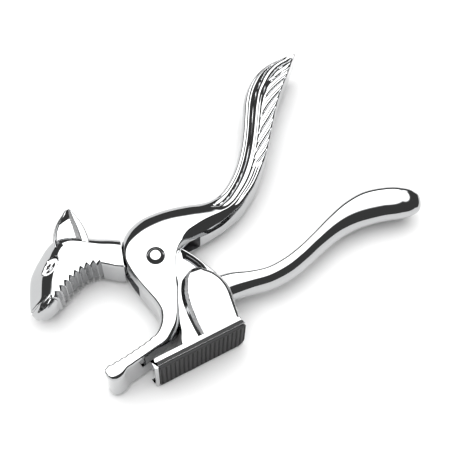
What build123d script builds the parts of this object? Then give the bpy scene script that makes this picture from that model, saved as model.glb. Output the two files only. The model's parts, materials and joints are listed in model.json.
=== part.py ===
from build123d import *
import os
from math import cos, radians, sin

os.makedirs("parts", exist_ok=True)

# A lever nutcracker in the shape of a leaping squirrel, lying on its side. Sizes are millimetres.
# Z is the hinge axis, +X runs along the sole from toe to heel and on to the handle, and +Y points
# from the sole to the tail. Everything is drawn about the hinge centre, and moved at the end.

# Widths along the hinge axis, each as half of the whole
cheek_half = 12.0        # shoulder cheeks and front leg
paw_half = 13.4
tail_half = 8.8
slot_half = 6.2          # slot between the cheeks
lug_half = 5.6           # lug and spine that run in the slot
jaw_half = 10.5          # head and neck
haunch_half = 12.4
foot_half = 14.5
pad_half = 12.9          # rubber sole

# Hinge
lug_radius = 13.0
slot_radius = 13.6
neck_step_radius = 20.5  # the full-width neck starts outside this circle
spine_slot_radius = 20.6
shank_radius = 2.5
cheek_hole_radius = 2.53
lug_hole_radius = 2.56
dome_radius = 4.5
dome_height = 2.0
washer_radius = 9.6
washer_thickness = 0.5

# Opening spring
wire_radius = 0.5
coil_radius = 5.2
coil_pitch = 1.2
fixed_leg_angle = -40    # lies along the spine
moving_leg_angle = 22    # presses on the root of the tail
fixed_leg_length = 15.5
moving_leg_length = 19.2
pocket_radius = 7.3
pocket_depth = 4.4

# Rounding of the cast edges
lever_edge = 2.5
head_edge = 3.0
haunch_edge = 4.0
foot_edge = 1.0
ear_edge = 0.9

# Teeth and sole
lower_tooth_count = 8
upper_tooth_count = 9
tooth_depth = 1.1
pad_top = -49.4          # height of the pad's inner face
pad_rib_top = -51.6
pad_bottom = -52.3
pad_toe = -24.6
pad_heel = 21.2
rib_count = 19


def flank_edges(solid, half_width, shortest):
    """The long curved edges round a slab's two flat sides."""
    edges = solid.edges().filter_by(GeomType.BSPLINE)
    return [edge for edge in edges if abs(abs(edge.center().Z) - half_width) < 0.02 and edge.length > shortest]


def polar(radius, degrees):
    return (radius * cos(radians(degrees)), radius * sin(radians(degrees)))


def slab(edges, half_width):
    """A flat piece with the given outline, the same on both sides of the middle plane."""
    return extrude(make_face(edges), amount=half_width, both=True)


def sector(radius, start, end, half_width):
    """A wedge about the hinge axis, from one angle to another."""
    corners = [(0, 0), polar(radius, start), polar(radius, (start + end) / 2), polar(radius, end)]
    return slab(Polyline(*corners, close=True), half_width)


def tooth_line(start, end, sag, count, depth):
    """A row of saw teeth along a shallow arc from start to end; depth is to the left of the way."""
    points = []
    run = Vector(*end) - Vector(*start)
    side = Vector(-run.Y, run.X).normalized()
    for step in range(2 * count + 1):
        share = step / (2 * count)
        bow = 4 * sag * share * (1 - share)
        tip = depth if step % 2 else 0
        point = Vector(*start) + run * share + side * (bow + tip)
        points.append((point.X, point.Y))
    return points


# ---- tail lever: tail, cheeks, front leg, lower jaw and paw ----
def tail_outline():
    back = Spline((-5.5, 20), (1.5, 22.7), (13.4, 21.8), (29.5, 16.2), (41.5, 16.4), (55, 23.6),
                  (67.2, 37.4), (80.6, 58.4), (92.8, 69.2), (106, 72.4), (118.6, 70.6))
    under = Spline((118.6, 70.6), (110, 62), (98, 50.8), (88, 39), (76.5, 25), (64, 13.6), (50, 6),
                   (33, 2.4), (17, 1.2), (7.5, -6.5), (1.6, -19.6), (-5, -32.4), (-13, -39.8),
                   (-24, -42.8), (-38, -44.4))
    toe = Spline((-38, -44.4), (-41, -47), (-45, -46.4), (-47.2, -43), (-46.8, -39.8))
    teeth = Polyline(*tooth_line((-46.8, -39.8), (-18.6, -36), -0.7, lower_tooth_count, tooth_depth))
    throat = Spline((-18.6, -36), (-14, -31.5), (-11.2, -26.2), (-11.7, -20), (-14, -9.5),
                    (-14.8, 2.7), (-12.2, 13.4), (-5.5, 20))
    return [back, under, toe, teeth, throat]


def tail_width_outline():
    """Half widths along X: wide paw, cheeks, slimmer tail."""
    half = Spline((-50, paw_half), (-34, paw_half), (-14, cheek_half), (10, cheek_half),
                  (46, tail_half), (122, tail_half - 0.6), tangents=((1, 0), (1, 0)))
    other = mirror(half, Plane.XZ)
    ends = [Line(half @ 0, other @ 0), Line(half @ 1, other @ 1)]
    return Plane.XZ * make_face([half, other] + ends)


def tail_lever():
    body = slab(tail_outline(), paw_half + 1) & extrude(tail_width_outline(), amount=150, both=True)
    rims = [edge for edge in body.edges().filter_by(GeomType.BSPLINE) if edge.length > 14]
    body = fillet(rims, lever_edge)
    hollow = Cylinder(slot_radius, 2 * slot_half)
    hollow += sector(60, 111, 218, slot_half)
    hollow += sector(spine_slot_radius / cos(radians(53)), -62, 44, slot_half) & Cylinder(
        spine_slot_radius, 2 * slot_half)
    # Room for the spine under the root of the tail when the levers close
    hollow += slab(Polyline((0, 0), (17.6, 9.8), (27.6, 1.6), (27.6, -6), (0, -6), close=True), slot_half)
    for side in (1, -1):
        hollow += Pos(0, 0, side * (cheek_half + 5)) * Cylinder(dome_radius + 0.3, 10)
    return body - hollow - Cylinder(cheek_hole_radius, 60)


# ---- head lever: head, upper jaw, neck, lug, spine, haunch, hind foot and handle ----
def head_slab():
    neck_top = polar(neck_step_radius, 122)
    neck_low = polar(neck_step_radius, 167)
    step = ThreePointArc(neck_top, polar(neck_step_radius, 144), neck_low)
    crown = Spline(neck_top, (-17, 21.6), (-24.5, 25.8), (-33, 30.8), (-41, 32), (-48, 29.8), (-54.4, 24.4),
                   (-59.4, 16.4), (-63.2, 8.4), (-64.4, 3.8))
    muzzle = Spline((-64.4, 3.8), (-62.4, 1.2), (-58, 0.2), (-54, 1.2), (-51.8, 4.4))
    teeth = Polyline(*tooth_line((-51.8, 4.4), (-24.6, 9.4), 4.6, upper_tooth_count, -tooth_depth))
    jaw_root = Spline((-24.6, 9.4), (-22.4, 7.4), neck_low)
    block = slab([step, crown, muzzle, teeth, jaw_root], jaw_half)
    return fillet(flank_edges(block, jaw_half, 4), head_edge)


def ear(side):
    outline = Polyline((-40.5, 29.5), (-37, 37), (-30.5, 41.8), (-26.8, 43.4), (-25.6, 40), (-24, 33),
                       (-24.8, 24), close=True)
    shell = slab(outline, 2.6)
    return Pos(0, 0, side * 6.2) * fillet(shell.edges(), ear_edge)


def lug_and_spine():
    neck_plug = sector(neck_step_radius + 1, 120, 168, lug_half)
    spine = slab([Spline((6, 8), (12.3, 3), (18.2, -3.2), (22.2, -12), (25.4, -22)),
                  Line((25.4, -22), (13, -26)), Spline((13, -26), (14.8, -13), (12, -6.6), (6, -3)),
                  Line((6, -3), (6, 8))], lug_half)
    return Cylinder(lug_radius, 2 * lug_half) + neck_plug + spine


def haunch():
    front = Spline((19.6, -16.6), (14.4, -14.8), (8.8, -15.4), (3.4, -19), (0.2, -25), (-1.6, -30.4),
                   (-6, -35.4), (-8.4, -40.4), (-9.6, -47))
    rear = Spline((21.6, -47), (24.2, -38), (25, -29), (23.4, -21.6), (19.6, -16.6))
    block = slab([front, Line((-9.6, -47), (21.6, -47)), rear], haunch_half)
    return fillet(flank_edges(block, haunch_half, 4), haunch_edge)


def foot():
    outline = [Line((-22, -46), (4, -45.8)), Line((4, -45.8), (22, -45.4)),
               ThreePointArc((22, -45.4), (24, -48.2), (22, -51)), Line((22, -51), (-24.6, -51)),
               ThreePointArc((-24.6, -51), (-26.8, -48.6), (-22, -46))]
    block = slab(outline, foot_half)
    block = fillet(block.edges().group_by(Axis.Z)[0] + block.edges().group_by(Axis.Z)[-1], foot_edge)
    recess = Pos((pad_toe + pad_heel) / 2, pad_top - 5, 0) * Box(pad_heel - pad_toe, 10, 2 * pad_half)
    return block - recess


def handle():
    stations = [(18, -27, 6.4, 7.6), (28, -28.6, 5.9, 8.2), (36.5, -31.1, 4.9, 8.4), (46, -33.2, 4.6, 8.5),
                (56, -33, 4.6, 8.5), (66, -31, 4.5, 8.5), (76, -28, 4.6, 8.5), (88, -24.6, 5.4, 8.6),
                (98, -22.9, 6.6, 8.6), (107.4, -23, 7.6, 8.6), (116, -25, 7.6, 8.5), (124.4, -28.4, 7, 8),
                (130.4, -31.2, 5.2, 6), (133.6, -32.7, 2.4, 2.8)]
    centre = Spline(*[(x, y) for x, y, thick, wide in stations])
    sections = []
    for x, y, thick, wide in stations:
        run = centre.tangent_at(centre.param_at_point((x, y)))
        plane = Plane(origin=(x, y, 0), x_dir=(0, 0, 1), z_dir=run)
        sections.append(plane * Ellipse(wide, thick))
    return loft(sections)


def head_lever():
    body = head_slab() + ear(1) + ear(-1) + lug_and_spine() + haunch() + foot() + handle()
    pocket = Pos(0, 0, lug_half - pocket_depth / 2) * Cylinder(pocket_radius, pocket_depth)
    leg_room = Pos(0, 0, lug_half - pocket_depth / 2) * sector(27, -30, 30, pocket_depth / 2)
    return body - pocket - leg_room - Cylinder(lug_hole_radius, 60)


# ---- rubber sole: a pad with ribs across it ----
def foot_sole():
    length = pad_heel - pad_toe
    middle = (pad_heel + pad_toe) / 2
    height = pad_top - pad_rib_top
    pad = Pos(middle, pad_top - height / 2, 0) * Box(length - 0.1, height, 2 * pad_half - 0.1)
    pad = fillet(pad.edges().filter_by(Axis.Y).sort_by(Axis.X)[-2:], 4)
    pitch = length / rib_count
    rib_height = pad_rib_top - pad_bottom
    for number in range(rib_count):
        at = pad_toe + pitch * (number + 0.5)
        inset = 1.6 if number == rib_count - 1 else 0
        rib = Pos(at, pad_rib_top - rib_height / 2 + 0.05, 0) * Box(
            pitch * 0.62, rib_height + 0.1, 2 * (pad_half - 0.05 - inset))
        pad += rib
    return pad


# ---- hinge ----
def dome(outer, height):
    """A low button head that stands on z = 0."""
    ball_radius = (outer ** 2 + height ** 2) / (2 * height)
    stock = Pos(0, 0, height / 2) * Cylinder(outer, height)
    return stock & (Pos(0, 0, height - ball_radius) * Sphere(ball_radius))


def pivot_rivet():
    length = 2 * cheek_half + 0.6 * dome_height
    shank = Pos(0, 0, cheek_half - length / 2) * Cylinder(shank_radius, length)
    return Pos(0, 0, cheek_half) * dome(dome_radius, dome_height) + shank


def rivet_collar():
    cap = Pos(0, 0, -cheek_half) * Rot(180, 0, 0) * dome(dome_radius, dome_height)
    return cap - Cylinder(cheek_hole_radius, 60)


def washer(side):
    gap_middle = side * (slot_half + lug_half) / 2
    ring = Cylinder(washer_radius, washer_thickness) - Cylinder(cheek_hole_radius + 0.04, 2)
    return Pos(0, 0, gap_middle) * ring


def torsion_spring():
    # Each leg leaves the coil along its tangent, so its angle gives where the coil starts or ends.
    start = fixed_leg_angle + 90
    end = moving_leg_angle - 90
    turns = 3 + (end - start) / 360
    height = turns * coil_pitch
    low = lug_half - pocket_depth / 2 - height / 2
    path = Pos(0, 0, low) * Rot(0, 0, start) * Helix(coil_pitch, height, coil_radius)
    spring = sweep(Plane(path @ 0, z_dir=path % 0) * Circle(wire_radius), path)
    legs = [(start, fixed_leg_angle, low, fixed_leg_length), (end, moving_leg_angle, low + height, moving_leg_length)]
    for root_angle, way, level, length in legs:
        root = Vector(*polar(coil_radius, root_angle), level)
        aim = Vector(*polar(1, way), 0)
        spring += Plane(root + aim * (length / 2), z_dir=aim) * Cylinder(wire_radius, length)
    return spring


nodes = {
    "tail_lever": tail_lever(),
    "head_lever": head_lever(),
    "foot_sole": foot_sole(),
    "pivot_rivet": pivot_rivet(),
    "rivet_collar": rivet_collar(),
    "washer_front": washer(1),
    "washer_back": washer(-1),
    "torsion_spring": torsion_spring(),
}

# The origin is the middle of the whole object's box, on the surface that it lies on.
box = Compound([solid for node in nodes.values() for solid in node.solids()]).bounding_box()
hinge = Pos(-box.center().X, -box.center().Y, -box.min.Z)
print("hinge centre:", hinge.position)
for name, solid in nodes.items():
    print(name, solid.is_valid, len(solid.solids()), round(solid.volume))
    export_step(hinge * solid, f"parts/{name}.step")
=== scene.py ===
import bpy
import bmesh
import json
import math
import numpy as np
from mathutils import Matrix, Vector


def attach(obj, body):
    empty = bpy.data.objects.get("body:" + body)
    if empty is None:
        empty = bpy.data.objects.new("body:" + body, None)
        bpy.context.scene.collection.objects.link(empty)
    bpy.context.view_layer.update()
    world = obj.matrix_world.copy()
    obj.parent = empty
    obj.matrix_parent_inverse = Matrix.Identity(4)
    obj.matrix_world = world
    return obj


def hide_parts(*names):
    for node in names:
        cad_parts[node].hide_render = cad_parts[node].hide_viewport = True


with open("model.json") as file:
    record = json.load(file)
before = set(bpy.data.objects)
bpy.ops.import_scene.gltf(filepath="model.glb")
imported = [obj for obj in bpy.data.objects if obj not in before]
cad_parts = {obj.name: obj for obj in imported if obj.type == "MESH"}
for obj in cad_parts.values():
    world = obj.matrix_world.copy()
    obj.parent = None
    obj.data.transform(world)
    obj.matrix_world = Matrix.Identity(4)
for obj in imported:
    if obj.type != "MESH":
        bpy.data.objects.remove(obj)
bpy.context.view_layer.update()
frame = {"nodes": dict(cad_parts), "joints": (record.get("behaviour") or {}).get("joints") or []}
hinge = Vector(frame["joints"][0]["pos_m"])
mm = 0.001
print("frame loaded")


# Shapes are drawn in millimetres about the hinge centre: x runs from toe to heel and on to the handle,
# y from the sole to the tail, and z along the hinge.
def place(x, y, z):
    return hinge + Vector((x, y, z)) * mm


def polar(radius, degrees):
    return (radius * math.cos(math.radians(degrees)), radius * math.sin(math.radians(degrees)))


def arc(radius, start, end, step):
    return [polar(radius, angle) for angle in range(start, end, step)]


# rises from 0 at low to 1 at high, with soft ends
def ease(value, low, high):
    t = np.clip((value - low) / (high - low), 0, 1)
    return t * t * (3 - 2 * t)


# rises over the first two values and falls again over the last two
def window(value, riseFrom, riseTo, fallFrom, fallTo):
    return ease(value, riseFrom, riseTo) * (1 - ease(value, fallFrom, fallTo))


# A row is one section of a piece: the x and y of its first point and of its second, half of its width, then
# how far in and how deep the rounding goes at the first point, and the same at the second.
# This is a cubic curve through such rows, sampled evenly, and more densely from the row denseFrom on.
def smoothRows(rows, count, denseFrom=None, dense=1):
    rows = np.array(rows, float)
    middle = (rows[:, 0:2] + rows[:, 2:4]) / 2
    stride = np.linalg.norm(np.diff(rows[:, 0:2], axis=0), axis=1)
    stride = stride + np.linalg.norm(np.diff(middle, axis=0), axis=1)
    knot = np.concatenate([[0], np.cumsum(stride)])
    slope = np.gradient(rows, knot, axis=0)
    at = np.linspace(0, knot[-1], count)
    if denseFrom is not None:
        change = knot[denseFrom]
        way = (change, change + (knot[-1] - change) * dense)
        at = np.interp(np.linspace(0, way[1], count), (0, *way), (0, change, knot[-1]))
    part = np.clip(np.searchsorted(knot, at, side="right") - 1, 0, len(knot) - 2)
    width = (knot[part + 1] - knot[part])[:, None]
    t = ((at - knot[part]) / width[:, 0])[:, None]
    startValue = 2 * t ** 3 - 3 * t ** 2 + 1
    startSlope = t ** 3 - 2 * t ** 2 + t
    endValue = -2 * t ** 3 + 3 * t ** 2
    endSlope = t ** 3 - t ** 2
    return (startValue * rows[part] + startSlope * width * slope[part]
            + endValue * rows[part + 1] + endSlope * width * slope[part + 1])


# how far a quarter-round edge has dropped at the distance d from the side
def cornerDrop(d, radius, depth):
    inside = np.clip(1 - d / max(radius, 0.01), 0, 1)
    return depth * (1 - np.sqrt(np.clip(1 - inside ** 2, 0, 1)))


crowding = 0.13  # the points of a section crowd towards its two edges by this much
thinnest = 0.02


# one closed section: a rounded rectangle from the row's first point to its second, as wide as the row says
def ringOf(row, flatCount, wallCount, relief=None, edge=cornerDrop, farEdge=cornerDrop):
    firstX, firstY, secondX, secondY, half, radius, depth, farRadius, farDepth = row[:9]
    first, second = np.array([firstX, firstY]), np.array([secondX, secondY])
    span = np.linalg.norm(second - first)
    even = np.linspace(0, 1, flatCount)
    u = even - crowding * np.sin(2 * np.pi * even)
    z = half - edge(u * span, radius, min(depth, half))
    z = z - farEdge((1 - u) * span, farRadius, min(farDepth, half))
    xy = first + (second - first) * u[:, None]
    if relief is not None:
        z = z + relief(u, xy, z, span, row)
    z = np.maximum(z, thinnest)
    top = np.column_stack([xy, z])
    low = np.column_stack([xy[::-1], -z[::-1]])
    steps = np.linspace(0, 1, wallCount + 2)[1:-1]
    farWall = np.array([[secondX, secondY, z[-1] * (1 - 2 * step)] for step in steps])
    nearWall = np.array([[firstX, firstY, -z[0] * (1 - 2 * step)] for step in steps])
    return np.vstack([top, farWall, low, nearWall])


def meshObject(name, bm):
    mesh = bpy.data.meshes.new(name)
    bm.to_mesh(mesh)
    bm.free()
    piece = bpy.data.objects.new(name, mesh)
    bpy.context.scene.collection.objects.link(piece)
    return piece


# a skin over closed rings that all have as many points, closed at both ends
def loft(name, rings):
    around, along = len(rings[0]), len(rings)
    bm = bmesh.new()
    bmesh.ops.create_grid(bm, x_segments=around, y_segments=along - 1, size=1)
    for vert in bm.verts:
        i = round((vert.co.x + 1) / 2 * around) % around
        j = round((vert.co.y + 1) / 2 * (along - 1))
        vert.co = place(*rings[j][i])
    bmesh.ops.remove_doubles(bm, verts=bm.verts, dist=1e-7)
    ends = [edge for edge in bm.edges if edge.is_boundary]
    bmesh.ops.holes_fill(bm, edges=ends, sides=0)
    bmesh.ops.recalc_face_normals(bm, faces=bm.faces)
    return meshObject(name, bm)


# a flat piece with the given outline, standing on both sides of the middle plane
def prism(name, outline, half, soft=0.0):
    bm = bmesh.new()
    face = bm.faces.new([bm.verts.new(place(x, y, -half)) for x, y in outline])
    grown = bmesh.ops.extrude_face_region(bm, geom=[face])
    lifted = [item for item in grown["geom"] if isinstance(item, bmesh.types.BMVert)]
    bmesh.ops.translate(bm, verts=lifted, vec=(0, 0, 2 * half * mm))
    if soft:
        rim = [edge for edge in bm.edges if abs(edge.verts[0].co.z - edge.verts[1].co.z) < 1e-6]
        bmesh.ops.bevel(bm, geom=rim, offset=soft * mm, segments=4, profile=0.5,
                        affect="EDGES", material=-1)
    bmesh.ops.recalc_face_normals(bm, faces=bm.faces)
    return meshObject(name, bm)


# takes the tool's shape out of the piece; the cut faces keep the tool's material
def cut(piece, tool):
    rule = piece.modifiers.new("cut", "BOOLEAN")
    rule.operation = "DIFFERENCE"
    rule.object = tool
    rule.material_mode = "TRANSFER"
    bpy.context.view_layer.update()
    graph = bpy.context.evaluated_depsgraph_get()
    mesh = bpy.data.meshes.new_from_object(piece.evaluated_get(graph))
    piece.modifiers.clear()
    piece.data = mesh
    bpy.data.objects.remove(tool)
    return piece


creaseAngle = 38  # degrees; sharper edges stay crisp


def finishPiece(piece, body, material, slot, *nodes):
    if not piece.data.materials:
        piece.data.materials.append(material)
    for face in piece.data.polygons:
        face.use_smooth = True
    piece.data.set_sharp_from_angle(angle=math.radians(creaseAngle))
    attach(piece, body)
    if nodes:
        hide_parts(*nodes)
    return piece


# finishes: each has a fine grain in the piece's own space
chromeLook = {"colour": (0.47, 0.475, 0.48, 1), "grain": 180, "detail": 4, "roughness": (0.03, 0.08)}
# satin: rougher than the chrome, and a much brighter colour that paints light onto the slopes it is put on
satinPaintedLightLook = {"colour": (0.9, 0.9, 0.9, 1), "grain": 900, "detail": 2, "roughness": (0.5, 0.62)}
steelLook = {"colour": (0.45, 0.46, 0.48, 1), "grain": 700, "detail": 2, "roughness": (0.24, 0.4)}
# inside the slot: rough like cast skin, and coloured near black as painted shade
slotCastingAndShadeLook = {"dark": (0.03, 0.03, 0.032, 1), "light": (0.11, 0.11, 0.115, 1), "grain": 900,
               "roughness": 0.5}
rubberLook = {"colour": (0.034, 0.034, 0.035, 1), "roughness": 0.68, "shine": 0.3, "grain": 2400,
              "bump": 0.25, "bumpHeight": 0.0002}


def newMaterial(name):
    material = bpy.data.materials.new(name)
    material.use_nodes = True
    nodes = material.node_tree.nodes
    return material, nodes, material.node_tree.links, nodes["Principled BSDF"]


def grainNode(nodes, links, scale):
    coords = nodes.new("ShaderNodeTexCoord")
    grain = nodes.new("ShaderNodeTexNoise")
    grain.inputs["Scale"].default_value = scale
    links.new(coords.outputs["Object"], grain.inputs["Vector"])
    return grain


# bright metal whose polish varies a little
def metalFinish(name, look):
    material, nodes, links, shader = newMaterial(name)
    shader.inputs["Base Color"].default_value = look["colour"]
    shader.inputs["Metallic"].default_value = 1
    grain = grainNode(nodes, links, look["grain"])
    grain.inputs["Detail"].default_value = look["detail"]
    spread = nodes.new("ShaderNodeMapRange")
    spread.inputs["To Min"].default_value = look["roughness"][0]
    spread.inputs["To Max"].default_value = look["roughness"][1]
    links.new(grain.outputs["Fac"], spread.inputs["Value"])
    links.new(spread.outputs["Result"], shader.inputs["Roughness"])
    return material


# painted shade: the faces cut by the slot get a rough cast-skin metal coloured near black, standing in for
# the shade between the two levers
def slotCastingAndShadeFinish():
    material, nodes, links, shader = newMaterial("slotCastingPaintedShade")
    shader.inputs["Metallic"].default_value = 1
    shader.inputs["Roughness"].default_value = slotCastingAndShadeLook["roughness"]
    grain = grainNode(nodes, links, slotCastingAndShadeLook["grain"])
    tone = nodes.new("ShaderNodeValToRGB")
    tone.color_ramp.elements[0].color = slotCastingAndShadeLook["dark"]
    tone.color_ramp.elements[1].color = slotCastingAndShadeLook["light"]
    links.new(grain.outputs["Fac"], tone.inputs["Fac"])
    links.new(tone.outputs["Color"], shader.inputs["Base Color"])
    return material


def rubberFinish():
    material, nodes, links, shader = newMaterial("blackRubber")
    shader.inputs["Base Color"].default_value = rubberLook["colour"]
    shader.inputs["Roughness"].default_value = rubberLook["roughness"]
    shader.inputs["Specular IOR Level"].default_value = rubberLook["shine"]
    grain = grainNode(nodes, links, rubberLook["grain"])
    bump = nodes.new("ShaderNodeBump")
    bump.inputs["Strength"].default_value = rubberLook["bump"]
    bump.inputs["Distance"].default_value = rubberLook["bumpHeight"]
    links.new(grain.outputs["Fac"], bump.inputs["Height"])
    links.new(bump.outputs["Normal"], shader.inputs["Normal"])
    return material


chrome = metalFinish("polishedChrome", chromeLook)
# painted light: the bright, rough satin copy of the chrome, put on mid-tilted slopes
satinPaintedLight = metalFinish("satinChromePaintedLight", satinPaintedLightLook)
steel = metalFinish("springSteel", steelLook)
slotCastingShade = slotCastingAndShadeFinish()
rubber = rubberFinish()
print("materials made")

steepSlope, mildSlope = 0.35, 0.62  # the upright part of a face's normal


# painted light: faces partway between the flat side and the upright wall (normal z between steepSlope and
# mildSlope) get a rough satin copy of the chrome in a much brighter colour, so these slopes read light grey
# instead of reflecting the dark surroundings
def satinPaintedLightSlopes(piece):
    piece.data.materials.append(satinPaintedLight)
    for face in piece.data.polygons:
        if steepSlope < abs(face.normal.z) < mildSlope:
            face.material_index = 1


# Tail lever: paw, lower jaw, front leg, cheeks and tail in one long skin.
tailLook = {"rings": 430, "flat": 106, "wall": 6, "denseFrom": 24, "dense": 2.4,
            "teeth": 8, "toothDepth": 0.6, "toothFirst": (-46.2, -40.25), "toothLast": (-18.8, -35.8),
            "reliefFrom": (28, 5)}

tailRows = [
    (-47.5, -42.4, -47.3, -44.2, 12.0, 1, 1, 1, 1),
    (-47.2, -40.8, -46.4, -46.2, 13.2, 1.2, 1, 2.2, 2.5),
    (-45.8, -40.0, -44.4, -47.3, 13.4, 1, 0.9, 2.6, 3),
    (-43.0, -39.9, -42.0, -47.4, 13.4, 1, 0.9, 2.6, 3),
    (-40.6, -39.7, -39.6, -46.6, 13.4, 1, 0.9, 2.2, 2.5),
    (-38.6, -39.6, -37.4, -45.0, 13.4, 1, 0.9, 1.4, 1.6),
    (-36.0, -39.4, -34.5, -44.5, 13.4, 1, 0.9, 1.4, 1.6),
    (-30.0, -38.6, -28.0, -43.5, 13.3, 1, 0.9, 1.4, 1.6),
    (-24.0, -37.6, -20.5, -42.2, 12.9, 1, 0.9, 1.4, 1.6),
    (-19.6, -36.3, -13.2, -41.4, 12.5, 1.2, 1.2, 2.6, 3.0),
    (-16.2, -33.8, -7.6, -37.6, 12.2, 2.0, 4, 2.8, 3.2),
    (-13.2, -30.2, -4.3, -32.8, 12, 2.2, 5.2, 1.8, 2.2),
    (-11.4, -26.3, -2.0, -27.0, 12, 2.2, 5.2, 0.5, 0.5),
    (-11.4, -21.5, 0.6, -21.8, 12, 2.2, 5.2, 0.35, 0.35),
    (-12.6, -15.0, 3.6, -14.8, 12, 2.0, 5.2, 0.35, 0.35),
    (-14.0, -8.0, 6.8, -8.0, 12, 1.9, 4.8, 0.4, 0.4),
    (-14.9, 0.0, 9.8, -3.2, 12, 1.9, 4.4, 0.6, 0.6),
    (-14.6, 6.5, 12.6, -0.6, 12, 2.0, 4.6, 1.0, 1.0),
    (-12.4, 13.2, 16.0, 0.9, 12, 4.8, 5.2, 2.0, 2.4),
    (-7.0, 19.2, 20.3, 1.0, 12, 10.4, 6.4, 4.2, 4.4),
    (1.5, 22.7, 24.9, 0.9, 12, 15.0, 6.6, 6.2, 6.4),
    (10.2, 22.8, 29.5, 0.9, 11.8, 15.4, 6.2, 6.8, 6.8),
    (18.4, 21.6, 33.8, 1.3, 11.4, 15.2, 5.8, 6.8, 6.8),
    (25.8, 19.8, 38.0, 1.8, 10.9, 14.4, 5.6, 6.2, 6.4),
    (32.0, 17.8, 42.0, 2.8, 10.3, 12.0, 5.6, 5.0, 5.4),
    (37.8, 16.6, 46.3, 4.1, 9.7, 8.6, 5.6, 4.0, 4.4),
    (43.2, 17.1, 51.1, 5.8, 9.2, 5.8, 5.4, 3.4, 3.6),
    (49.0, 19.6, 56.5, 9.0, 9.0, 4.2, 5.0, 2.4, 2.6),
    (55.0, 23.8, 63.0, 13.1, 8.9, 3.8, 4.6, 2.0, 2.2),
    (60.5, 29.0, 69.5, 18.6, 8.8, 3.6, 4.4, 1.6, 2.2),
    (66.0, 35.6, 76.0, 25.0, 8.8, 3.6, 4.4, 1.4, 1.8),
    (71.3, 43.2, 82.5, 32.6, 8.8, 3.6, 4.4, 1.4, 1.6),
    (76.4, 51.5, 88.5, 40.0, 8.8, 3.6, 4.4, 1.4, 1.6),
    (81.0, 58.8, 94.5, 47.2, 8.8, 3.6, 4.4, 1.4, 1.6),
    (86.3, 64.6, 100.0, 53.0, 8.8, 3.6, 4.4, 1.4, 1.6),
    (92.5, 68.9, 105.3, 58.0, 8.8, 3.4, 4.0, 1.2, 1.4),
    (99.5, 71.5, 110.2, 62.6, 8.7, 2.8, 3.2, 1.0, 1.0),
    (107.0, 72.5, 114.2, 66.6, 8.5, 2.0, 2.2, 0.8, 0.8),
    (113.5, 71.9, 117.0, 69.2, 8.3, 1.0, 1.0, 0.6, 0.6),
    (118.0, 70.9, 118.5, 70.4, 8.0, 0.3, 0.3, 0.3, 0.3),
]

# Long flutes of the tail: where each lies between its back (0) and its front (1), by how far along it is.
flutes = [
    {"at": (38, 46, 62, 81, 90, 97, 116), "across": (0.10, 0.20, 0.17, 0.14, 0.11, 0.08, 0.06),
     "width": 0.55, "depth": 0.5, "power": 2},
    {"at": (31, 36, 58, 81, 91, 98, 106, 116), "across": (0.36, 0.43, 0.34, 0.31, 0.28, 0.21, 0.16, 0.12),
     "width": 1.5, "depth": 1.5, "power": 1.25},
    {"at": (32, 36, 58, 78, 84, 90), "across": (0.60, 0.63, 0.58, 0.51, 0.48, 0.47),
     "width": 0.85, "depth": 0.55, "power": 2},
    {"at": (37, 43, 52, 58, 66), "across": (0.76, 0.79, 0.80, 0.80, 0.78),
     "width": 0.75, "depth": 0.5, "power": 2},
    {"at": (80, 85, 92, 97, 102, 106, 109, 117), "across": (0.50, 0.48, 0.47, 0.47, 0.50, 0.60, 0.74, 0.84),
     "width": 1.2, "depth": 1.2, "power": 1.25},
    {"at": (87, 92, 95, 99, 102, 109), "across": (0.50, 0.54, 0.68, 0.79, 0.94, 1.0),
     "width": 0.6, "depth": 0.55, "power": 2},
]
fluteFade = 8

# Slanting cuts on the front of the tail, one deep and the next shallow.
barbLook = {"pitch": 5.2, "lean": 2.5, "width": 0.42, "depth": 0.46, "deep": 1.25, "shallow": 0.55,
            "across": (0.56, 0.66, 0.92, 0.98), "along": (58, 68, 98, 104)}

# Under the root of the tail the edge is a broad slope, which turns into a plain rounding as it narrows.
rootLook = {"inside": (0, 0.06, 0.3, 0.7, 1), "fall": (0, 0.03, 0.24, 0.64, 1), "plainBelow": 2.0,
            "broadAbove": 5.0}

# The neck, the lug and the spine run in this slot.
slotLook = {"half": 6.2, "lugRadius": 13.6, "spineRadius": 20.6, "neckReach": 60, "neckAngles": (197, 111),
            "lugUpper": (111, 43, -6), "spineUpper": (44, 11, -8), "spineLower": (-20, -63, -6),
            "lugLower": (-62, -143, -8), "rootEnd": 25.8, "rootTop": 0.3, "rootSide": 20.2, "rootLow": -6}


def rootSlope(d, radius, depth):
    inside = np.clip(1 - d / max(radius, 0.01), 0, 1)
    slope = depth * np.interp(inside, rootLook["inside"], rootLook["fall"])
    share = ease(radius, rootLook["plainBelow"], rootLook["broadAbove"])
    return slope * share + cornerDrop(d, radius, depth) * (1 - share)


def fluteCut(flute, u, span, along):
    at = flute["at"]
    strength = window(along, at[0], at[0] + fluteFade, at[-1] - fluteFade, at[-1])
    away = np.abs(u - np.interp(along, at, flute["across"])) * span / flute["width"]
    return flute["depth"] * strength * np.exp(-away ** flute["power"])


def barbCut(u, span, along, run):
    look = barbLook
    phase = (run - look["lean"] * (u - 0.5) * span) / look["pitch"]
    away = np.abs(phase % 1 - 0.5) * look["pitch"] / math.hypot(1, look["lean"])
    within = window(u, *look["across"]) * window(along, *look["along"])
    deeper = np.where(np.floor(phase) % 2 == 0, look["deep"], look["shallow"])
    return look["depth"] * deeper * within * np.exp(-(away / look["width"]) ** 2)


def tailRelief(u, xy, z, span, row):
    along, height, run = row[0], row[1], row[9]
    if along < tailLook["reliefFrom"][0] or height < tailLook["reliefFrom"][1]:
        return np.zeros_like(z)
    grooves = sum(fluteCut(flute, u, span, along) for flute in flutes)
    return -grooves - barbCut(u, span, along, run)


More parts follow.
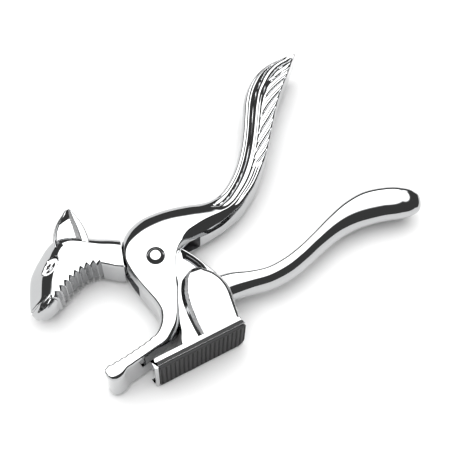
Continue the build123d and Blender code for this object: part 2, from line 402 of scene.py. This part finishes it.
# a saw from 0 to 1 along a run, only between start and end, that falls over the last share of each tooth
def toothProfile(run, start, end, count, fall=0.5):
    phase = (run - start) / (end - start) * count
    part = phase % 1
    wave = np.minimum(part / (1 - fall), (1 - part) / fall)
    return np.where((phase > 0) & (phase < count), wave, 0)


# how far each row's point in these two columns has travelled from the first row's
def sideRun(rows, column):
    steps = np.linalg.norm(np.diff(rows[:, column:column + 2], axis=0), axis=1)
    return np.concatenate([[0], np.cumsum(steps)])


def runNear(rows, column, run, point):
    return run[np.argmin(np.hypot(rows[:, column] - point[0], rows[:, column + 1] - point[1]))]


def slotTool():
    look = slotLook
    outline = [polar(look["neckReach"], angle) for angle in look["neckAngles"]]
    outline += arc(look["lugRadius"], *look["lugUpper"]) + arc(look["spineRadius"], *look["spineUpper"])
    outline += [(look["rootEnd"], look["rootTop"]), (look["rootEnd"], look["rootLow"]),
                (look["rootSide"], look["rootLow"])]
    outline += arc(look["spineRadius"], *look["spineLower"]) + arc(look["lugRadius"], *look["lugLower"])
    tool = prism("slotTool", outline, look["half"])
    # the slot's cut faces take the near-black metal: painted shade between the levers
    tool.data.materials.append(slotCastingShade)
    return tool


def buildTailLever():
    look = tailLook
    rows = smoothRows(tailRows, look["rings"], look["denseFrom"], look["dense"])
    run = sideRun(rows, 0)
    start = runNear(rows, 0, run, look["toothFirst"])
    end = runNear(rows, 0, run, look["toothLast"])
    teeth = toothProfile(run, start, end, look["teeth"]) * look["toothDepth"]
    outward = rows[:, 0:2] - rows[:, 2:4]
    rows[:, 0:2] += outward / np.linalg.norm(outward, axis=1)[:, None] * teeth[:, None]
    rows = np.column_stack([rows, run])
    rings = [ringOf(row, look["flat"], look["wall"], tailRelief, cornerDrop, rootSlope) for row in rows]
    piece = loft("tailLever", rings)
    piece.data.materials.append(chrome)
    return finishPiece(cut(piece, slotTool()), "tail_side", chrome, "chrome", "tail_lever")


tailLever = buildTailLever()
print("tail lever built,", len(tailLever.data.polygons), "faces")

# Head lever: head, ears, neck, lug, spine, haunch, shin, foot and handle.
headLook = {"rings": 330, "flat": 92, "wall": 6, "teeth": 9, "toothDepth": 2.3, "toothFall": 0.2,
            "toothRoot": 0.6, "toothFirst": (-24.6, 9.4), "toothLast": (-51.4, 3.4), "mouthWidth": 0.55,
            "mouthDepth": 1.5, "mouthFade": 0.7}
mouthLines = [((-64.5, 5.4), (-55.4, 6.6)), ((-62.6, 1.8), (-53.6, 5.3))]
eyeLook = {"centre": (-47.3, 20.2), "turn": 28, "long": 5.9, "wide": 3.3, "corner": 1.6,
           "lid": (0.86, 1.04), "height": 7.7, "tilt": 0.1, "slant": 0.4, "crown": 0.42, "pupil": 1.3,
           "pupilBack": 0.04, "pupilRim": 1.1, "pupilLong": 0.6, "pupilWide": 0.48}

headRows = [
    (-10.8, 17.8, -15.9, 2.6, 10.5, 5.6, 5.4, 1.4, 1.4),
    (-15.0, 20.5, -19.2, 4.6, 10.5, 5.6, 5.4, 1.4, 1.4),
    (-19.5, 22.9, -22.4, 7.2, 10.5, 5.6, 5.4, 1.7, 1.7),
    (-24.5, 25.9, -25.6, 9.6, 10.5, 5.4, 5.2, 1.7, 1.7),
    (-29.5, 29.0, -28.6, 10.6, 10.5, 5.0, 5, 1.7, 1.7),
    (-34.5, 31.4, -31.4, 10.9, 10.5, 5.0, 5.4, 1.7, 1.7),
    (-39.5, 32.2, -34.2, 10.6, 10.5, 6.8, 4.6, 1.7, 1.7),
    (-44.5, 31.3, -37.2, 10.0, 10.5, 9.2, 6.6, 1.7, 1.7),
    (-49.4, 29.0, -40.0, 9.1, 10.5, 12.0, 9.2, 1.7, 1.7),
    (-53.9, 26.0, -42.8, 8.0, 10.5, 13.0, 10.5, 1.7, 1.7),
    (-57.8, 22.0, -45.4, 6.9, 10.5, 13.6, 10.5, 1.7, 1.7),
    (-60.6, 17.0, -47.8, 5.8, 10.5, 13.2, 10.5, 1.7, 1.7),
    (-62.9, 11.8, -49.9, 4.6, 10.2, 12.2, 10.2, 2.2, 3.2),
    (-64.6, 7.2, -51.6, 3.2, 9.4, 10.2, 9.2, 3.6, 5.6),
    (-65.0, 4.4, -53.0, 2.0, 8.6, 8.8, 8, 4.2, 7),
    (-64.2, 2.4, -55.2, 1.1, 7.0, 5.4, 6, 4.0, 6),
    (-61.8, 1.2, -58.0, 0.8, 4.4, 1.8, 3.6, 1.8, 3.6),
]

# Roundings broader than this are wedges: a shallow slope from the flat side, a steady steep one,
# then a turn under.
wedgeLook = {"broaderThan": 6.3, "inside": (0, 0.03, 0.42, 0.5, 0.92, 1),
             "slope": (0, 0.28, 0.5, 1.05, 1.08, 2)}


def wedgeDrop(d, radius, depth):
    inside = np.clip(1 - d / max(radius, 0.01), 0, 1)
    steps = np.linspace(0, 1, 201)
    slope = np.interp(steps, wedgeLook["inside"], wedgeLook["slope"])
    total = np.concatenate([[0], np.cumsum((slope[1:] + slope[:-1]) / 2)])
    return depth * np.interp(inside, steps, total / total[-1])


def headEdge(d, radius, depth):
    broad = radius > wedgeLook["broaderThan"]
    return wedgeDrop(d, radius, depth) if broad else cornerDrop(d, radius, depth)


# the eye is a low almond plate with a hollow pupil
def eyeRelief(xy, z):
    look = eyeLook
    turn = math.radians(look["turn"])
    dx, dy = xy[:, 0] - look["centre"][0], xy[:, 1] - look["centre"][1]
    long = (dx * math.cos(turn) + dy * math.sin(turn)) / look["long"]
    wide = (dy * math.cos(turn) - dx * math.sin(turn)) / look["wide"]
    reach = np.sqrt(long ** 2 + np.abs(wide) ** look["corner"])
    plate = look["height"] + look["tilt"] * (dx - look["slant"] * dy) - look["crown"] * reach ** 3
    pupil = np.hypot((long + look["pupilBack"]) / look["pupilLong"], wide / look["pupilWide"])
    plate -= look["pupil"] * np.clip(look["pupilRim"] - pupil, 0, 1)
    return (plate - z) * (1 - ease(reach, *look["lid"]))


# a groove from a to b that grows shallower on the way
def mouthCut(xy, a, b):
    a, b = np.array(a), np.array(b)
    way = b - a
    t = np.clip((xy - a) @ way / (way @ way), 0, 1)
    away = np.linalg.norm(xy - a - t[:, None] * way, axis=1)
    groove = headLook["mouthDepth"] * np.exp(-(away / headLook["mouthWidth"]) ** 2)
    return groove * (1 - headLook["mouthFade"] * t)


def headRelief(u, xy, z, span, row):
    return eyeRelief(xy, z) - sum(mouthCut(xy, a, b) for a, b in mouthLines)


def buildHead():
    look = headLook
    rows = smoothRows(headRows, look["rings"])
    run = sideRun(rows, 2)
    start = runNear(rows, 2, run, look["toothFirst"])
    end = runNear(rows, 2, run, look["toothLast"])
    teeth = toothProfile(run, start, end, look["teeth"], look["toothFall"]) - look["toothRoot"]
    teeth = np.where((run > start) & (run < end), teeth, 0) * look["toothDepth"]
    outward = rows[:, 2:4] - rows[:, 0:2]
    rows[:, 2:4] += outward / np.linalg.norm(outward, axis=1)[:, None] * teeth[:, None]
    rings = [ringOf(row, look["flat"], look["wall"], headRelief, headEdge) for row in rows]
    finishPiece(loft("squirrelHead", rings), "head_side", chrome, "chrome", "head_lever")


buildHead()

# Each ear is hollow on its outer side: a rim, a folded floor and a flat lobe, from 0 to 1 across it.
earLook = {"rings": 70, "flat": 60, "wall": 4, "half": 3.6, "apart": 6.7, "rim": 0.09, "rimFrom": 0.05,
           "rimTo": 0.02, "fold": 0.58, "inner": 0.81, "cup": 5.6, "rimDepth": 0.68, "fullSpan": 12,
           "edge": (1.0, 1.0, 0.7, 0.7)}
earRows = [
    (-41.4, 27.6, -25.0, 22.0), (-40.9, 30.0, -24.4, 25.6), (-39.6, 33.2, -24.0, 30.0),
    (-37.4, 36.6, -24.1, 34.0), (-34.2, 39.6, -24.6, 37.4), (-30.6, 42.0, -25.1, 40.0),
    (-29.0, 43.1, -25.5, 41.9), (-27.8, 43.6, -26.2, 43.1)]


def earRelief(u, xy, z, span, row):
    look = earLook
    wall = ease(u, look["rim"] - look["rimFrom"], look["rim"] + look["rimTo"])
    floor = np.interp(u, (0, look["rim"], look["fold"], look["inner"], 1), (0, look["rimDepth"], 1, 0, 0))
    return -look["cup"] * wall * floor * min(1, span / look["fullSpan"])


def buildEar(name, lift):
    look = earLook
    rows = [(*points, look["half"], *look["edge"]) for points in earRows]
    inward = slice(look["flat"] + look["wall"], 2 * look["flat"] + look["wall"])
    if lift < 0:
        inward = slice(0, look["flat"])
    rings = []
    for row in smoothRows(rows, look["rings"]):
        ring = ringOf(row, look["flat"], look["wall"], earRelief)
        ring[inward] = ringOf(row, look["flat"], look["wall"])[inward]
        ring[:, 2] += lift
        rings.append(ring)
    # the ear's mid-tilted slopes get painted light from the bright satin copy of the chrome
    satinPaintedLightSlopes(finishPiece(loft(name, rings), "head_side", chrome, "chrome"))


buildEar("earNear", earLook["apart"])
buildEar("earFar", -earLook["apart"])
print("head and ears built")

# The haunch stands up from the shin in a hollow sweep, a bright slope and a quick turn onto its face.
haunchLook = {"rings": 160, "flat": 96, "wall": 6, "across": (0, 0.067, 0.267, 0.489, 0.6, 0.911, 1),
              "drop": (1, 0.955, 0.83, 0.665, 0.565, 0.05, 0)}
haunchRows = [
    (11.2, -13.9, 15.8, -14.1, 10.8, 1.2, 1, 1.4, 3),
    (8.9, -14.8, 18.6, -16.0, 11.7, 2.6, 2.4, 3.0, 6),
    (5.7, -16.7, 20.8, -18.2, 12.2, 3.6, 3.2, 4.2, 6),
    (3.4, -19.4, 22.6, -20.8, 12.4, 4.2, 3.6, 3.8, 6),
    (1.9, -22.6, 23.9, -24.0, 12.4, 4.0, 3.6, 3.4, 5),
    (0.7, -26.6, 24.7, -27.8, 12.4, 3.8, 3.6, 3.2, 5),
    (0.0, -31.0, 24.7, -31.8, 12.4, 3.6, 3.6, 3.0, 5),
    (-0.4, -35.4, 23.9, -36.0, 12.4, 3.4, 3.6, 2.8, 5),
    (-0.6, -40.0, 22.9, -40.2, 12.4, 3.1, 3.6, 2.6, 4),
    (-0.6, -44.0, 22.0, -44.0, 12.4, 2.9, 3.6, 2.4, 3),
    (-0.6, -47.4, 21.2, -47.4, 12.4, 2.8, 3.6, 2, 3),
]


def haunchEdge(d, radius, depth):
    return depth * np.interp(d / max(radius, 0.01), haunchLook["across"], haunchLook["drop"])


# a plain length of the head lever, lofted through its rows
def buildBar(name, rows, look, edge=cornerDrop, farEdge=cornerDrop):
    rings = []
    for row in smoothRows(rows, look["rings"]):
        rings.append(ringOf(row, look["flat"], look["wall"], None, edge, farEdge))
    return finishPiece(loft(name, rings), "head_side", chrome, "chrome")


# the haunch's mid-tilted slopes get painted light from the bright satin copy of the chrome
satinPaintedLightSlopes(buildBar("haunch", haunchRows, haunchLook, haunchEdge))

shinLook = {"rings": 70, "flat": 30, "wall": 4}
shinRows = [
    (9.6, -14.8, 16, -17, 8.8, 0.3, 0.3, 1, 1),
    (3.2, -17.4, 15, -19.6, 9.0, 0.3, 0.3, 1, 1),
    (0.85, -21.8, 14, -24, 9.0, 0.3, 0.3, 1, 1),
    (-1.3, -26.0, 14, -28, 9.0, 0.3, 0.3, 1, 1),
    (-3.1, -30.4, 14, -32, 9.0, 0.3, 0.3, 1, 1),
    (-4.9, -34.6, 14, -36, 9.0, 0.4, 0.4, 1, 1),
    (-6.2, -38.8, 14, -40, 9.0, 0.6, 0.6, 1, 1),
    (-8.4, -43.0, 14, -43.4, 9.0, 0.6, 0.6, 1, 1),
    (-9.6, -47.2, 14, -47.2, 9.0, 0.6, 0.6, 1, 1),
]
buildBar("shin", shinRows, shinLook)

# Middle of the bar, half of its thickness and half of its width. Its upper edge is the crisper one.
handleLook = {"rings": 220, "flat": 64, "wall": 3, "upperIn": 0.34, "upperDeep": 0.3, "lowerIn": 1.5,
              "lowerDeep": 0.96}
handleStations = [
    (18, -27, 6.4, 7.6), (28, -28.6, 5.9, 8.2), (36.5, -31.1, 4.9, 8.4), (46, -33.2, 4.6, 8.5),
    (56, -33, 4.6, 8.5), (66, -31, 4.5, 8.5), (76, -28, 4.6, 8.5), (88, -24.6, 5.4, 8.6),
    (98, -22.9, 6.6, 8.6), (107.4, -23, 7.6, 8.6), (116, -25, 7.6, 8.5), (124.4, -28.4, 7.0, 8.0),
    (130.4, -31.2, 5.2, 6.2), (133.2, -32.5, 3.0, 3.6), (134.0, -32.9, 0.8, 1.0)]


def buildHandle():
    look = handleLook
    centre = np.array([station[:2] for station in handleStations], float)
    way = np.gradient(centre, axis=0)
    way /= np.linalg.norm(way, axis=1)[:, None]
    side = np.column_stack([-way[:, 1], way[:, 0]])
    rows = []
    for middle, across, station in zip(centre, side, handleStations):
        thick, wide = station[2:]
        upper = middle + across * thick
        lower = middle - across * thick
        rows.append((*upper, *lower, wide, thick * look["upperIn"], wide * look["upperDeep"],
                     thick * look["lowerIn"], wide * look["lowerDeep"]))
    buildBar("handleBar", rows, look)


buildHandle()

spineLook = {"rings": 70, "flat": 30, "wall": 4}
spineRows = [
    (2, 9, -2, -4, 5.6, 1, 1, 1, 1),
    (8.4, 6.6, 5, -1.6, 5.6, 0.8, 0.8, 3.4, 3.6),
    (12.6, 2.6, 9.4, -2.4, 5.6, 0.7, 0.7, 4.6, 4.6),
    (16.0, -2.6, 12.2, -5.4, 5.6, 0.7, 0.7, 4.4, 4.6),
    (18.4, -7.2, 14.2, -9.2, 5.6, 0.7, 0.7, 4.4, 4.6),
    (20.4, -12.0, 15.4, -13.2, 5.6, 0.7, 0.7, 4.6, 4.6),
    (22.4, -17.0, 15.6, -17.4, 5.6, 0.7, 0.7, 4.6, 4.6),
    (24.2, -22.0, 15.0, -22.0, 5.6, 0.7, 0.7, 4.6, 4.6),
]
buildBar("spineBar", spineRows, spineLook, cornerDrop, rootSlope)

# The lug turns in the slot, and the flat web lies between the spine and the haunch, beside the cheek.
lugLook = {"half": 5.6, "radius": 13, "round": (188, 468, 8),
           "neck": ((20.4, 116), (18.6, 128), (17.2, 145), (16.6, 160))}
webLook = {"half": 5.5, "soft": 0.2,
           "outline": ((4.0, -1.0), (8.6, -1.4), (11.7, -4.2), (14.3, -8.8), (15.9, -12.4), (15.4, -17.0),
                       (6.0, -19.4), (2.3, -19.4), (4.2, -14.9), (5.0, -12.2), (4.0, -8.0))}


def buildLugAndWeb():
    outline = arc(lugLook["radius"], *lugLook["round"])
    outline += [polar(radius, angle) for radius, angle in lugLook["neck"]]
    finishPiece(prism("hingeLug", outline, lugLook["half"]), "head_side", chrome, "chrome")
    web = prism("saddleWeb", webLook["outline"], webLook["half"], webLook["soft"])
    finishPiece(web, "head_side", chrome, "chrome")


buildLugAndWeb()

# The ends of the foot, its levels from the top down, half of each bar's width, and how round the ends are.
footLook = {"toe": -25.2, "heel": 20.8, "top": -46.6, "step": -49.2, "gap": -50.65, "bottom": -50.85,
            "half": 14.5, "seamHalf": 14.0, "plateHalf": 14.1, "capHalf": 14.2, "nose": 1.2}


# a long flat bar along the foot with rounded ends
def footBar(name, toe, heel, top, bottom, half, soft, material=chrome, slot="chrome"):
    nose = min(footLook["nose"], (top - bottom) / 2.2)
    high, low = nose * 0.3, nose * 0.4
    outline = [(toe + nose, top), (heel - nose, top), (heel - high, top - high), (heel, top - nose),
               (heel, bottom + low), (heel - low, bottom), (toe + low, bottom),
               (toe, bottom + low), (toe, top - nose), (toe + high, top - high)]
    finishPiece(prism(name, outline, half, soft), "head_side", material, slot)


def buildFoot():
    look = footLook
    toe, heel, step, bottom = look["toe"], look["heel"], look["step"], look["bottom"]
    footBar("hindFoot", toe, heel, look["top"], step, look["half"], 0.45)
    footBar("soleSeam", toe + 0.7, heel + 0.4, step + 0.3, bottom, look["seamHalf"], 0.2, rubber, "rubber")
    footBar("footPlate", toe - 0.3, heel + 0.8, look["gap"], bottom, look["plateHalf"], 0.1)
    footBar("toeCap", toe - 1.3, toe + 0.9, step + 2.0, bottom - 1.1, look["capHalf"], 0.3)


buildFoot()

# Ribbed rubber. The ribs fade out before the long edges, so the pad keeps a smooth rim.
soleLook = {"toe": -24.5, "heel": 22.2, "top": -50.6, "bottom": -52.3, "half": 13.3, "toeRound": 1.0,
            "heelRound": 5.0, "endLift": 0.3, "edge": (0.2, 0.2, 0.5, 0.7), "ribs": 20, "ribDepth": 0.75,
            "rim": (2.2, 1.0), "rings": 400, "flat": 14, "wall": 41}


# how far the pad's end has rounded away at x
def endRound(x):
    look = soleLook
    turn = look["toeRound"] if x < 0 else look["heelRound"]
    into = max(0, turn - min(x - look["toe"], look["heel"] - x))
    return turn - math.sqrt(max(0, turn ** 2 - into ** 2))


def buildSole():
    look = soleLook
    wall = slice(look["flat"], look["flat"] + look["wall"])
    rings = []
    for x in np.linspace(look["toe"], look["heel"], look["rings"]):
        away = endRound(x)
        low = look["bottom"] + away * look["endLift"]
        row = (x, look["top"], x, low, look["half"] - away, *look["edge"])
        ring = ringOf(row, look["flat"], look["wall"])
        phase = (x - look["toe"]) / (look["heel"] - look["toe"]) * look["ribs"]
        valley = 0.5 - 0.5 * math.cos(2 * math.pi * phase)
        calm = 1 - ease(np.abs(ring[wall, 2]), look["half"] - look["rim"][0], look["half"] - look["rim"][1])
        ring[wall, 1] += look["ribDepth"] * valley ** 3 * calm
        rings.append(ring)
    finishPiece(loft("soleRubber", rings), "head_side", rubber, "rubber", "foot_sole")


buildSole()
print("head lever built")

# Half of the rivet's outline, as radius and height, from the middle of its dome to the shank.
rivetLook = {"segments": 72,
             "profile": ((0, 14.15), (1.7, 14.1), (2.7, 13.95), (3.25, 13.6), (3.8, 13.0),
                         (4.2, 12.6), (4.5, 12.35), (4.6, 12.1), (4.6, 11.9), (2.5, 11.9))}


def buildRivet():
    bm = bmesh.new()
    upper = rivetLook["profile"]
    points = upper + tuple((radius, -z) for radius, z in reversed(upper))
    verts = [bm.verts.new(place(radius, 0, z)) for radius, z in points]
    edges = [bm.edges.new(pair) for pair in zip(verts, verts[1:])]
    bmesh.ops.spin(bm, geom=verts + edges, cent=hinge, axis=(0, 0, 1), angle=2 * math.pi,
                   steps=rivetLook["segments"], use_merge=True, use_duplicate=False)
    bmesh.ops.remove_doubles(bm, verts=bm.verts, dist=1e-6)
    bmesh.ops.recalc_face_normals(bm, faces=bm.faces)
    finishPiece(meshObject("rivetPin", bm), "tail_side", chrome, "rivet", "pivot_rivet")


buildRivet()
print("rivet built")

cadFinishes = {"rivet_collar": chrome, "washer_front": steel, "washer_back": steel, "torsion_spring": steel}
for name, finish in cadFinishes.items():
    node = frame["nodes"][name]
    node.data.materials.clear()
    node.data.materials.append(finish)
print("collar, washers and spring finished")

floorLook = {"reach": 6, "colour": (0.86, 0.86, 0.86, 1), "roughness": 0.9}


def buildFloor():
    bm = bmesh.new()
    bmesh.ops.create_grid(bm, x_segments=1, y_segments=1, size=floorLook["reach"])
    floor = meshObject("floor", bm)
    material, _, _, shader = newMaterial("paleFloor")
    shader.inputs["Base Color"].default_value = floorLook["colour"]
    shader.inputs["Roughness"].default_value = floorLook["roughness"]
    floor.data.materials.append(material)


# One broad lamp straight above, in dark surroundings: the flat sides are white and the round edges
# have dark bands.
lightLook = {"dark": (0.02, 0.02, 0.02, 1), "bright": (1, 1, 1, 1), "darkTo": 0.76, "brightFrom": 0.84,
             "lean": (0, 0.15, 1), "strength": 4.0}


def buildLight():
    look = lightLook
    world = bpy.data.worlds.new("studio")
    bpy.context.scene.world = world
    world.use_nodes = True
    nodes, links = world.node_tree.nodes, world.node_tree.links
    coords = nodes.new("ShaderNodeTexCoord")
    lean = nodes.new("ShaderNodeVectorMath")
    lean.operation = "DOT_PRODUCT"
    lean.inputs[1].default_value = look["lean"]
    ramp = nodes.new("ShaderNodeValToRGB")
    stops = ramp.color_ramp.elements
    stops[0].color = look["dark"]
    stops[1].position = look["brightFrom"]
    stops[1].color = look["bright"]
    stops.new(look["darkTo"]).color = look["dark"]
    links.new(coords.outputs["Generated"], lean.inputs[0])
    links.new(lean.outputs["Value"], ramp.inputs["Fac"])
    links.new(ramp.outputs["Color"], nodes["Background"].inputs["Color"])
    nodes["Background"].inputs["Strength"].default_value = look["strength"]


cameraLook = {"azimuth": 30.8, "elevation": 65.64, "roll": 2.75, "distance": 0.5652,
              "target": (0.0024, -0.0114, 0.0265), "lens": 92, "sensor": 36}


def buildCamera():
    look = cameraLook
    data = bpy.data.cameras.new("camera")
    data.lens = look["lens"]
    data.sensor_width = look["sensor"]
    camera = bpy.data.objects.new("camera", data)
    bpy.context.scene.collection.objects.link(camera)
    azimuth, elevation = math.radians(look["azimuth"]), math.radians(look["elevation"])
    ahead = Vector((math.sin(azimuth) * math.cos(elevation), math.cos(azimuth) * math.cos(elevation),
                    -math.sin(elevation)))
    turn = ahead.to_track_quat("-Z", "Y").to_matrix().to_4x4()
    roll = Matrix.Rotation(math.radians(look["roll"]), 4, "Z")
    away = Matrix.Translation(Vector(look["target"]) - ahead * look["distance"])
    camera.matrix_world = away @ turn @ roll
    bpy.context.scene.camera = camera


buildFloor()
buildLight()
buildCamera()
bpy.context.scene.view_settings.view_transform = "Standard"
print("floor, light and camera set")
